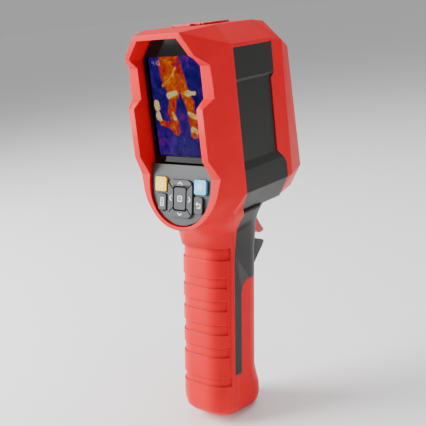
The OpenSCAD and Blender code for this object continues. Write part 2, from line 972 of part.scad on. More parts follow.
module camera_window() {
    color("#1b2733") rod_y([-side_eye_x, panel_front - 1.6, side_eye_z], eye_r, 2.2);
}

module lamp_led() {
    color("#e8e2b0") {
        rod_y([side_eye_x, panel_front - 7, side_eye_z], 4.4, 1.6);
        rod_y([side_eye_x, panel_front - 5.4, side_eye_z], 1.6, 1);
    }
}

module lamp_lens() {
    color("#dfe6ea") difference() {
        rod_y([side_eye_x, panel_front - 3, side_eye_z], lamp_r, 3.6);
        translate([side_eye_x, panel_front - 3.01, side_eye_z]) rotate([-90, 0, 0])
            cylinder(h = 2.4, r1 = lamp_r - 0.8, r2 = 1, $fn = 48);
    }
}

// ---------- trigger ----------

face_y = axis_y(chin_z) + grip_front;
pivot_z = chin_z - 6.5;
pivot_y = face_y - 1.2;
pin_l = trigger_w + 9;
hub_r = pin_r + 1.9;
slot_gap = 0.5;
tip_y = face_y + 13.8;
tip_z = chin_z - 26.5;
brow_y = face_y + 5.5;

module trigger_slot() {
    half = trigger_w / 2 + slot_gap;
    across(-half, half) polygon([
        [pivot_y - 11, chin_z + 0.9], [brow_y + 5, chin_z + 0.9], [tip_y + 20, tip_z + 6],
        [tip_y + 20, tip_z - 2.7], [face_y, tip_z - 2.7], [pivot_y - 11, tip_z + 1]
    ]);
}

// The side view of the lever, from its hub down the front to the tip and back up.
module trigger_outline() {
    polygon(concat(
        [
            [pivot_y - hub_r + 0.3, pivot_z], [pivot_y - 1, pivot_z + hub_r - 0.4],
            [brow_y - 1.5, pivot_z + 3.4]
        ],
        [for (i = [0:8]) let (t = i / 8)
            [brow_y + (tip_y - brow_y) * t * t, pivot_z + 2.2 + (tip_z - pivot_z - 0.6) * t]],
        [[tip_y - 0.5, tip_z + 0.3], [tip_y - 2.5, tip_z]],
        [for (i = [0:6]) let (t = 1 - i / 6)
            [
                pivot_y - 1 + (tip_y - 4.5 - pivot_y) * pow(t, 1.6),
                pivot_z - hub_r + (tip_z + 0.4 - pivot_z + hub_r) * t
            ]]
    ));
}

// The trigger is a curved lever that hangs from its pin.
module trigger() {
    color(red) difference() {
        union() {
            rod_x([0, pivot_y, pivot_z], hub_r, trigger_w);
            across(-trigger_w / 2, trigger_w / 2) trigger_outline();
            box(-3, 3, pivot_y - 9, pivot_y, pivot_z - 11, pivot_z - 6.5);
            box(-3, 3, pivot_y - 3, pivot_y + 1, pivot_z - 9, pivot_z - 1);
        }
        rod_x([0, pivot_y, pivot_z], pin_r + pin_clear, trigger_w + 2);
        rod_x([0, pivot_y, pivot_z], hub_r + 0.3, 5);
    }
}

module trigger_pin() {
    color("#b4b7bb") rod_x([0, pivot_y, pivot_z], pin_r, pin_l);
}

wire_r = 0.35;
module trigger_spring() {
    color("#a0a3a7") {
        for (i = [-2:2])
            translate([i * 2.1 * wire_r, pivot_y, pivot_z]) rotate([0, 90, 0])
                rotate_extrude($fn = 48) translate([pin_r + 0.25 + wire_r, 0]) circle(wire_r, $fn = 16);
    }
}

// Ears that hold the pin on both sides of the trigger.
module pin_ear(side) {
    inner = trigger_w / 2 + slot_gap;
    intersection() {
        rod_x([0, pivot_y, pivot_z], pin_r + 2, pin_l);
        box(side > 0 ? inner : -far, side > 0 ? far : -inner, -far, far, -far, far);
    }
}

module trigger_switch() {
    color(black) {
        box(-6.4, 6.4, pivot_y - 18.2, pivot_y - 12.2, pivot_z - 15.5, pivot_z - 5.5);
        rod_y([0, pivot_y - 12.2, pivot_z - 9], 1.1, 1.7);
    }
}

// ---------- power ----------

module battery_cell() {
    color("#2f6db5") in_grip() {
        translate([0, 0, cell_low]) cylinder(h = cell_l, r = cell_r, $fn = 96);
        translate([0, 0, cell_low + cell_l]) cylinder(h = 1, r = 3, $fn = 48);
    }
}

holder_t = 1.5;
module battery_holder() {
    color("#2b2d30") in_grip() difference() {
        translate([0, 0, cell_low - 5.5]) linear_extrude(cell_l + 11.5)
            round_rect(2 * (cell_r + holder_t), 2 * (cell_r + holder_t), 3);
        translate([0, 0, cell_low - 4]) cylinder(h = cell_l + 8.5, r = cell_r + 0.2, $fn = 96);
        translate([-far / 2, 3, cell_low - 4]) cube([far, far, cell_l + 8.5]);
    }
}

module battery_contacts() {
    color("#c8a24a") in_grip() {
        for (i = [0:3])
            translate([0, 0, cell_low - 3.4 + i]) rotate_extrude($fn = 48)
                translate([5.6 - i * 0.9, 0]) circle(0.4, $fn = 16);
        translate([-4, -4, cell_low + cell_l + 1.2]) cube([8, 8, 0.6]);
    }
}

insert_r = 4.75;
module insert_seat() {
    in_grip() translate([0, 0, -1]) cylinder(h = socket_l + 3.05, r = insert_r + 0.03, $fn = 96);
}

module tripod_insert() {
    color("#b08d4a") in_grip() difference() {
        cylinder(h = socket_l + 2, r = insert_r, $fn = 96);
        translate([0, 0, -1]) cylinder(h = socket_l + 1, r = socket_r, $fn = 96);
    }
}

module screw(s) {
    rod_x([-screw_seat - 0.9, s[0], s[1]], screw_head_r, 1.8);
    rod_x([(screw_reach - screw_seat) / 2, s[0], s[1]], screw_r, screw_reach + screw_seat);
}

module case_screws() {
    color("#8f9296") {
        for (s = head_screws) screw(s);
        in_grip() for (s = grip_screws) screw(s);
    }
}

// ---------- nodes ----------

rear_shell();
front_grip();
frame_left();
frame_right();
side_panel_left();
side_panel_right();
top_band();
front_rim();
front_panel();
display_window();
display_gasket();
display_module();
display_ribbon();
keypad_bezel();
key_yellow();
key_blue();
key_menu();
key_back();
key_set();
key_up();
key_down();
key_left();
key_right();
key_mat();
key_board();
main_board();
shield_can();
board_screws();
usb_port();
card_slot();
memory_card();
port_cover();
cover_anchor();
thermal_core();
lens_barrel();
lens_ring();
germanium_lens();
camera_module();
camera_window();
lamp_led();
lamp_lens();
trigger();
trigger_pin();
trigger_spring();
trigger_switch();
battery_cell();
battery_holder();
battery_contacts();
tripod_insert();
case_screws();
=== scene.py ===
"""Looks for a pistol-grip thermal imaging camera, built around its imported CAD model."""

import json
from math import cos, pi, radians, sin

import bpy
from mathutils import Matrix, Vector

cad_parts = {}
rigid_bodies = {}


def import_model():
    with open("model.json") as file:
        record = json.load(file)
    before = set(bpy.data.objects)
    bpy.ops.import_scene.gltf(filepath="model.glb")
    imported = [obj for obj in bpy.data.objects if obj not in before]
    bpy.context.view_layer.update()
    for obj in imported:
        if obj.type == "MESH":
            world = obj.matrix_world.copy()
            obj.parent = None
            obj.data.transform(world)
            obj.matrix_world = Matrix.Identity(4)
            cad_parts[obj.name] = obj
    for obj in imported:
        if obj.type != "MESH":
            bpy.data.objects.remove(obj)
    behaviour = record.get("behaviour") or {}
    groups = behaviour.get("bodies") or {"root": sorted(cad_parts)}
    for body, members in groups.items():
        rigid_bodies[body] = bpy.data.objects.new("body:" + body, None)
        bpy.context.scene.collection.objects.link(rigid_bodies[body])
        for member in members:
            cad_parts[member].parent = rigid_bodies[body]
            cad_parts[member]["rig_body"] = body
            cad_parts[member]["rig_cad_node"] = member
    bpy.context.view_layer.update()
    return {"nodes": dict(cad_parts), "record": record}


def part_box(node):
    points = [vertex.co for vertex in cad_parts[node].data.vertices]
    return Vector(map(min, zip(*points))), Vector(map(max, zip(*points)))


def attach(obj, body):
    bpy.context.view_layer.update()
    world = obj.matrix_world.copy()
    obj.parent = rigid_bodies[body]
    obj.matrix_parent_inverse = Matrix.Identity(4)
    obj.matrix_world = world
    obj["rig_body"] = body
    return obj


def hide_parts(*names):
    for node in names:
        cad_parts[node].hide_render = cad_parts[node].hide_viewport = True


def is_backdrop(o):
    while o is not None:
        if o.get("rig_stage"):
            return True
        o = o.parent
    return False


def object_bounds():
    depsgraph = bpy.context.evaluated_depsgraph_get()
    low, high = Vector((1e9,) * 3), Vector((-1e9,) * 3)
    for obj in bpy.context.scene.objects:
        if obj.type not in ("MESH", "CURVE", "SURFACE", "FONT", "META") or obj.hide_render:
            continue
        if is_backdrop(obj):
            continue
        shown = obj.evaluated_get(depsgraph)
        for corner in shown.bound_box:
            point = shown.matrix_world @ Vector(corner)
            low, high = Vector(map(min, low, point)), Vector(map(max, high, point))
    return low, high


bl_info = {
    "name": "Thermal Camera Looks",
    "version": (1, 0, 0),
    "blender": (4, 5, 0),
    "location": "View3D > Sidebar > Thermal Camera",
    "description": "Finishes the shells, display, keypad, optics and trigger of a thermal imaging camera",
    "category": "Object",
}

MM = 0.001
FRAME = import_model()
SLOTS = {part["node"]: part["material_slot"] for part in FRAME["record"]["subparts"]}
MATERIALS = {}


def colour(shade, factor=1.0):
    """A linear colour from an sRGB hex string or a colour setting, brightened or darkened by a factor."""
    if isinstance(shade, str):
        parts = [int(shade[i:i + 2], 16) / 255 for i in (1, 3, 5)]
        shade = [c / 12.92 if c <= 0.04045 else ((c + 0.055) / 1.055) ** 2.4 for c in parts]
    return tuple(min(1.0, c * factor) for c in shade) + (1.0,)


# ---------- settings ----------

def shade_setting(name, description, text):
    """A colour that a user may change, from its sRGB hex value."""
    return bpy.props.FloatVectorProperty(name=name, description=description, size=3, default=colour(text)[:3],
                                         min=0.0, max=1.0, subtype="COLOR")


class ThermalFinishSettings(bpy.types.PropertyGroup):
    """Colours and sizes of the moulded surfaces."""

    shell_colour: shade_setting("Shell colour", "Colour of the outer shells", "#da0016")
    trim_colour: shade_setting("Trim colour", "Colour of the trigger and the port cover", "#d60016")
    frame_colour: shade_setting("Frame colour", "Colour of the dark frame", "#201f1f")
    yellow_colour: shade_setting("Yellow key", "Colour of the key at the upper left", "#f8cc00")
    blue_colour: shade_setting("Blue key", "Colour of the key at the upper right", "#5cb8f0")
    edge_radius: bpy.props.FloatProperty(
        name="Edge radius", description="Rounding seen on the edges of the moulded shells",
        default=0.0007, min=0.0, max=0.003, unit="LENGTH", precision=4)
    small_edge: bpy.props.FloatProperty(
        name="Small edge radius", description="Rounding seen on keys, screws and trim",
        default=0.00025, min=0.0, max=0.001, unit="LENGTH", precision=5)
    smooth_angle: bpy.props.FloatProperty(
        name="Smooth angle", description="Edges of the shells flatter than this are shaded smooth",
        default=radians(22), min=0.0, max=pi, subtype="ANGLE")
    shell_grain: bpy.props.FloatProperty(
        name="Shell grain", description="Size of the fine grain on the coloured shells",
        default=0.00045, min=0.0001, max=0.002, unit="LENGTH", precision=5)
    frame_grain: bpy.props.FloatProperty(
        name="Frame grain", description="Size of the spark-eroded grain on the dark frame",
        default=0.00055, min=0.0001, max=0.002, unit="LENGTH", precision=5)


class ThermalDisplaySettings(bpy.types.PropertyGroup):
    """The display's picture."""

    width: bpy.props.FloatProperty(
        name="Picture width", description="Width of the lit picture",
        default=0.0432, unit="LENGTH", precision=4)
    height: bpy.props.FloatProperty(
        name="Picture height", description="Height of the lit picture",
        default=0.0576, unit="LENGTH", precision=4)
    glow: bpy.props.FloatProperty(
        name="Glow", description="Strength of the picture's light", default=0.62, min=0.0, max=10.0)


class ThermalKeypadSettings(bpy.types.PropertyGroup):
    """The keypad's plate and the marks on its keys."""

    tilt: bpy.props.FloatProperty(
        name="Plate tilt", description="Lean of the keypad's plate, top edge away from the user",
        default=radians(11.6), subtype="ANGLE")
    middle: bpy.props.FloatVectorProperty(
        name="Plate middle", description="Point on the plate below the centre key", size=3,
        default=(0.0, -0.0127, 0.139), subtype="TRANSLATION", unit="LENGTH", precision=4)
    key_rise: bpy.props.FloatProperty(
        name="Key rise", description="Height of the key tops above the plate",
        default=0.0014, unit="LENGTH", precision=5)
    ink: bpy.props.FloatProperty(
        name="Ink thickness", description="Height of the printed marks",
        default=0.00003, unit="LENGTH", precision=6)
    stroke: bpy.props.FloatProperty(
        name="Stroke width", description="Width of a printed stroke",
        default=0.00055, unit="LENGTH", precision=5)


class ThermalStageSettings(bpy.types.PropertyGroup):
    """Camera, floor and light."""

    azimuth: bpy.props.FloatProperty(
        name="Azimuth", description="Turn of the camera about the object",
        default=radians(41.439), subtype="ANGLE")
    pitch: bpy.props.FloatProperty(
        name="Pitch", description="How far the camera looks down", default=radians(13.53), subtype="ANGLE")
    roll: bpy.props.FloatProperty(
        name="Roll", description="Turn of the camera about its own axis",
        default=radians(6.243), subtype="ANGLE")
    place: bpy.props.FloatVectorProperty(
        name="Place", description="Position of the camera", size=3,
        default=(0.287645, -0.310057, 0.243267), subtype="TRANSLATION", unit="LENGTH")
    lens: bpy.props.FloatProperty(
        name="Lens", description="Focal length in millimetres", default=62.486, min=1.0, unit="CAMERA")
    shift: bpy.props.FloatProperty(
        name="Shift", description="Vertical shift of the lens, as a share of its picture", default=-0.061)
    floor_size: bpy.props.FloatProperty(
        name="Floor size", description="Width of the floor", default=60.0, unit="LENGTH")
    daylight: bpy.props.FloatProperty(
        name="Daylight", description="Strength of the white surroundings", default=0.4, min=0.0, max=10.0)


# ---------- nodes ----------

def add(tree, kind, inputs=None, **settings):
    """Adds one shader node, sets it up, and links or fills its sockets."""
    node = tree.nodes.new("ShaderNode" + kind)
    for key, value in settings.items():
        setattr(node, key, value)
    for key, value in (inputs or {}).items():
        if isinstance(value, bpy.types.NodeSocket):
            tree.links.new(value, node.inputs[key])
        else:
            node.inputs[key].default_value = value
    return node


def new_tree(name):
    """An empty material's node tree, and the material."""
    material = bpy.data.materials.new(name)
    material.use_nodes = True
    material.node_tree.nodes.clear()
    return material, material.node_tree


def finish_tree(tree, surface):
    """Ends a material's tree in its surface."""
    add(tree, "OutputMaterial", {"Surface": surface})


def ramp(tree, fac, stops):
    """A node that blends through colours, given as (place, colour) pairs."""
    node = add(tree, "ValToRGB", {"Fac": fac})
    elements = node.color_ramp.elements
    while len(elements) < len(stops):
        elements.new(1.0)
    for element, (place, value) in zip(elements, stops):
        element.position = place
        element.color = value
    return node


# Uneven gloss and colour come in patches about 22 mm wide, as a large moulding shows them.
PATCHES_PER_METRE = 45.0
# Painted highlight: rounded edges are mixed towards a paler colour, fully where the rounded face leans from the
# flat one by this cosine.
HIGHLIGHT_COSINE = 0.85
# Painted shade: ambient occlusion darkens the colour in gaps and corners narrower than this.
PAINTED_SHADE_REACH = 3 * MM


def moulded(name, shade, rough, grain, depth, edge, mottle=0.05, coat=0.0, sheen=0.0, metallic=0.0,
            specular=0.5, edge_highlight=0.25):
    """A moulded or cast surface: fine grain, uneven gloss, colour drift, painted highlights on rounded edges
    and painted shade in corners.
    """
    material, tree = new_tree(name)
    place = add(tree, "TexCoord").outputs["Object"]
    fine = add(tree, "TexNoise", {"Vector": place, "Scale": 1 / grain, "Detail": 3.0, "Roughness": 0.6})
    broad = add(tree, "TexNoise", {"Vector": place, "Scale": PATCHES_PER_METRE, "Detail": 4.0,
                                   "Roughness": 0.55})
    tint = ramp(tree, broad.outputs["Fac"],
                [(0.3, colour(shade, 1 - mottle)), (0.7, colour(shade, 1 + mottle))])
    gloss = add(tree, "MapRange", {"Value": broad.outputs["Fac"], "From Min": 0.3, "From Max": 0.7,
                                   "To Min": rough - 0.04, "To Max": rough + 0.05})
    rounded = add(tree, "Bevel", {"Radius": edge}, samples=6)
    bump = add(tree, "Bump", {"Height": fine.outputs["Fac"], "Strength": 0.6, "Distance": depth,
                              "Normal": rounded.outputs["Normal"]})
    # Painted highlight: where the rounded face leans from the flat one, the colour is mixed towards a paler
    # tint.
    flat = add(tree, "NewGeometry").outputs["Normal"]
    lean = add(tree, "VectorMath", {0: flat, 1: rounded.outputs["Normal"]}, operation="DOT_PRODUCT")
    painted_highlight = add(tree, "MapRange", {"Value": lean.outputs["Value"], "From Min": 1.0, "From Max": HIGHLIGHT_COSINE,
                                  "To Min": 0.0, "To Max": edge_highlight})
    # Painted shade: the colour is mixed towards a third of its brightness where ambient occlusion finds gaps
    # and corners.
    hollow = add(tree, "AmbientOcclusion", {"Distance": PAINTED_SHADE_REACH}, samples=6)
    painted_shade = add(tree, "MapRange", {"Value": hollow.outputs["AO"], "From Min": 0.95, "From Max": 0.3,
                                   "To Min": 0.0, "To Max": 0.8})
    pale = tuple(0.8 * c + 0.2 for c in colour(shade)[:3]) + (1.0,)
    with_painted_shade = add(tree, "Mix", {0: painted_shade.outputs["Result"], 6: tint.outputs["Color"], 7: colour(shade, 0.3)},
                data_type="RGBA")
    with_painted_highlight = add(tree, "Mix", {0: painted_highlight.outputs["Result"], 6: with_painted_shade.outputs[2], 7: pale}, data_type="RGBA")
    body = add(tree, "BsdfPrincipled", {
        "Base Color": with_painted_highlight.outputs[2], "Roughness": gloss.outputs["Result"],
        "Normal": bump.outputs["Normal"], "Metallic": metallic, "Coat Weight": coat, "Coat Roughness": 0.25,
        "Sheen Weight": sheen, "Sheen Roughness": 0.4, "Specular IOR Level": specular})
    finish_tree(tree, body.outputs["BSDF"])
    return material


# A wave texture at scale 1 has one band in this many metres.
BAND_SPACING = 0.314


def drawn_metal(name, shade, rough, stretch, edge, pitch=0.0):
    """A turned, drawn or brushed metal with fine lines, and a thread's ridges where pitch is set."""
    material, tree = new_tree(name)
    place = add(tree, "TexCoord").outputs["Object"]
    along = add(tree, "Mapping", {"Vector": place, "Scale": stretch})
    lines = add(tree, "TexNoise", {"Vector": along.outputs["Vector"], "Scale": 1500.0, "Detail": 4.0})
    gloss = add(tree, "MapRange", {"Value": lines.outputs["Fac"], "To Min": rough - 0.08,
                                   "To Max": rough + 0.1})
    height = lines.outputs["Fac"]
    distance = 0.01 * MM
    if pitch:
        ridges = add(tree, "TexWave", {"Vector": place, "Scale": BAND_SPACING / pitch, "Distortion": 0.0},
                     wave_type="BANDS", bands_direction="Z", wave_profile="SAW")
        height = ridges.outputs["Fac"]
        distance = 0.4 * MM
    rounded = add(tree, "Bevel", {"Radius": edge}, samples=6)
    bump = add(tree, "Bump", {"Height": height, "Strength": 0.5, "Distance": distance,
                              "Normal": rounded.outputs["Normal"]})
    body = add(tree, "BsdfPrincipled", {
        "Base Color": colour(shade), "Metallic": 1.0, "Roughness": gloss.outputs["Result"],
        "Normal": bump.outputs["Normal"]})
    finish_tree(tree, body.outputs["BSDF"])
    return material


def laminate(name, shade, copper):
    """A circuit board's solder mask with buried tracks."""
    material, tree = new_tree(name)
    place = add(tree, "TexCoord").outputs["Object"]
    cells = add(tree, "TexVoronoi", {"Vector": place, "Scale": 420.0}, feature="DISTANCE_TO_EDGE")
    tracks = ramp(tree, cells.outputs["Distance"], [(0.03, colour(copper)), (0.07, colour(shade))])
    bump = add(tree, "Bump", {"Height": cells.outputs["Distance"], "Strength": 0.3, "Distance": 0.03 * MM})
    body = add(tree, "BsdfPrincipled", {
        "Base Color": tracks.outputs["Color"], "Roughness": 0.35, "Normal": bump.outputs["Normal"],
        "Coat Weight": 0.3})
    finish_tree(tree, body.outputs["BSDF"])
    return material


def inside_rectangle(tree, place, middle, size):
    """1 inside a rectangle in the X-Z plane, 0 outside it."""
    split = add(tree, "SeparateXYZ", {"Vector": place})
    inside = []
    for axis, centre, width in (("X", 0.0, size[0]), ("Z", middle, size[1])):
        offset = add(tree, "Math", {0: split.outputs[axis], 1: centre}, operation="SUBTRACT")
        distance = add(tree, "Math", {0: offset.outputs[0]}, operation="ABSOLUTE")
        inside.append(add(tree, "Math", {0: distance.outputs[0], 1: width / 2}, operation="LESS_THAN"))
    both = add(tree, "Math", {0: inside[0].outputs[0], 1: inside[1].outputs[0]}, operation="MULTIPLY")
    return both.outputs[0]


def window_glass(name, middle, size):
    """A clear pane with a black printed border round the picture."""
    material, tree = new_tree(name)
    place = add(tree, "TexCoord").outputs["Object"]
    clear = inside_rectangle(tree, place, middle, size)
    smudge = add(tree, "TexNoise", {"Vector": place, "Scale": 90.0, "Detail": 5.0})
    gloss = add(tree, "MapRange", {"Value": smudge.outputs["Fac"], "To Min": 0.03, "To Max": 0.12})
    through = add(tree, "BsdfTransparent", {"Color": (0.93, 0.94, 0.95, 1.0)})
    shine = add(tree, "BsdfGlossy", {"Color": (0.35, 0.35, 0.36, 1.0), "Roughness": gloss.outputs["Result"]})
    fresnel = add(tree, "Fresnel", {"IOR": 1.12})
    pane = add(tree, "MixShader", {0: fresnel.outputs[0], 1: through.outputs[0], 2: shine.outputs[0]})
    border = add(tree, "BsdfPrincipled", {"Base Color": colour("#101113"), "Roughness": gloss.outputs["Result"],
                                          "Specular IOR Level": 0.2})
    mixed = add(tree, "MixShader", {0: clear, 1: border.outputs[0], 2: pane.outputs[0]})
    finish_tree(tree, mixed.outputs[0])
    return material


def clear_glass(name, shade, coating):
    """Solid optical glass with a faint coloured coating."""
    material, tree = new_tree(name)
    place = add(tree, "TexCoord").outputs["Object"]
    dust = add(tree, "TexNoise", {"Vector": place, "Scale": 300.0, "Detail": 3.0})
    gloss = add(tree, "MapRange", {"Value": dust.outputs["Fac"], "To Min": 0.01, "To Max": 0.05})
    body = add(tree, "BsdfPrincipled", {
        "Base Color": colour(shade), "Transmission Weight": 1.0, "Roughness": gloss.outputs["Result"],
        "IOR": 1.5, "Coat Weight": 0.6, "Coat Tint": colour(coating)})
    finish_tree(tree, body.outputs["BSDF"])
    return material


# The picture is drawn a third taller than it is wide.
TALL = 1.333
# Warm shapes in it: start, end, radius and warmth, as shares of the width and height from the top left.
WARM_SHAPES = [
    ((0.30, 0.09), (0.34, 0.24), 0.17, 0.66), ((0.33, 0.22), (0.40, 0.36), 0.12, 0.70),
    ((0.46, 0.02), (0.56, 0.30), 0.10, 0.62), ((0.56, 0.28), (0.66, 0.48), 0.09, 0.68),
    ((0.66, 0.46), (0.70, 0.76), 0.085, 0.66), ((0.38, 0.36), (0.31, 0.56), 0.085, 0.64),
    ((0.31, 0.54), (0.37, 0.74), 0.08, 0.60), ((0.10, 0.66), (0.34, 0.70), 0.05, 0.66),
    ((0.30, 0.385), (0.42, 0.37), 0.05, 0.93), ((0.62, 0.37), (0.74, 0.36), 0.045, 0.95),
    ((0.64, 0.58), (0.74, 0.60), 0.045, 0.92), ((0.66, 0.72), (0.74, 0.74), 0.045, 0.92),
    ((0.05, 0.46), (0.06, 0.52), 0.05, 0.99), ((0.05, 0.58), (0.07, 0.62), 0.045, 0.98),
    ((0.20, 0.30), (0.47, 0.12), 0.02, 0.80), ((0.34, 0.58), (0.36, 0.62), 0.04, 0.90),
]

# Colours from cold to hot, by warmth.
HEAT_COLOURS = [(0.0, "#04001c"), (0.18, "#140470"), (0.34, "#4000a0"), (0.46, "#900080"),
                (0.58, "#d02000"), (0.70, "#f06000"), (0.84, "#ffb000"), (0.97, "#fff0a0")]


def thermal_picture(name, middle, size, glow):
    """A false-colour heat picture: warm leads and clamps against a cool, mottled background."""
    material, tree = new_tree(name)
    place = add(tree, "TexCoord").outputs["Object"]
    flat = add(tree, "Mapping", {"Vector": place, "Location": (0.5, 0.0, 0.5 + middle / size[1]),
                                 "Scale": (1 / size[0], 0.0, -1 / size[1])})
    wobble = add(tree, "TexNoise", {"Vector": flat.outputs["Vector"], "Scale": 7.0, "Detail": 3.0})
    centred = add(tree, "VectorMath", {0: wobble.outputs["Color"], 1: (0.5, 0.5, 0.5)}, operation="SUBTRACT")
    pushed = add(tree, "VectorMath", {0: centred.outputs[0], "Scale": 0.09}, operation="SCALE")
    moved = add(tree, "VectorMath", {0: flat.outputs["Vector"], 1: pushed.outputs[0]}, operation="ADD")
    point = add(tree, "VectorMath", {0: moved.outputs[0], 1: (1.0, 0.0, TALL)}, operation="MULTIPLY").outputs[0]
    cool = add(tree, "TexNoise", {"Vector": point, "Scale": 3.2, "Detail": 5.0, "Distortion": 1.2})
    heat = add(tree, "MapRange", {"Value": cool.outputs["Fac"], "From Min": 0.3, "From Max": 0.7,
                                  "To Min": 0.10, "To Max": 0.42}).outputs["Result"]
    for start, end, radius, warmth in WARM_SHAPES:
        a = Vector((start[0], 0.0, start[1] * TALL))
        run = Vector((end[0], 0.0, end[1] * TALL)) - a
        arm = add(tree, "VectorMath", {0: point, 1: tuple(a)}, operation="SUBTRACT").outputs[0]
        share = add(tree, "VectorMath", {0: arm, 1: tuple(run / run.length_squared)}, operation="DOT_PRODUCT")
        limited = add(tree, "Math", {0: share.outputs["Value"], 1: 0.0}, operation="ADD", use_clamp=True)
        foot = add(tree, "VectorMath", {0: tuple(run), "Scale": limited.outputs[0]}, operation="SCALE")
        gap = add(tree, "VectorMath", {0: arm, 1: foot.outputs[0]}, operation="DISTANCE")
        near = add(tree, "MapRange", {"Value": gap.outputs["Value"], "From Min": radius * 0.72,
                                      "From Max": radius * 1.12, "To Min": warmth, "To Max": 0.0},
                   interpolation_type="SMOOTHSTEP")
        heat = add(tree, "Math", {0: heat, 1: near.outputs["Result"]}, operation="MAXIMUM").outputs[0]
    streaks = add(tree, "TexNoise", {"Vector": point, "Scale": 11.0, "Detail": 4.0, "Distortion": 2.0})
    fine = add(tree, "MapRange", {"Value": streaks.outputs["Fac"], "From Min": 0.3, "From Max": 0.7,
                                  "To Min": -0.13, "To Max": 0.13})
    mixed = add(tree, "Math", {0: heat, 1: fine.outputs["Result"]}, operation="ADD", use_clamp=True)
    picture = ramp(tree, mixed.outputs[0], [(warmth, colour(text)) for warmth, text in HEAT_COLOURS])
    body = add(tree, "BsdfPrincipled", {
        "Base Color": (0.002, 0.002, 0.003, 1.0), "Roughness": 0.6, "Specular IOR Level": 0.0,
        "Emission Color": picture.outputs["Color"], "Emission Strength": glow})
    finish_tree(tree, body.outputs["BSDF"])
    return material


def picture_middle():
    """Height of the middle of the lit picture."""
    low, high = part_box("display_module")
    return (low.z + high.z) / 2


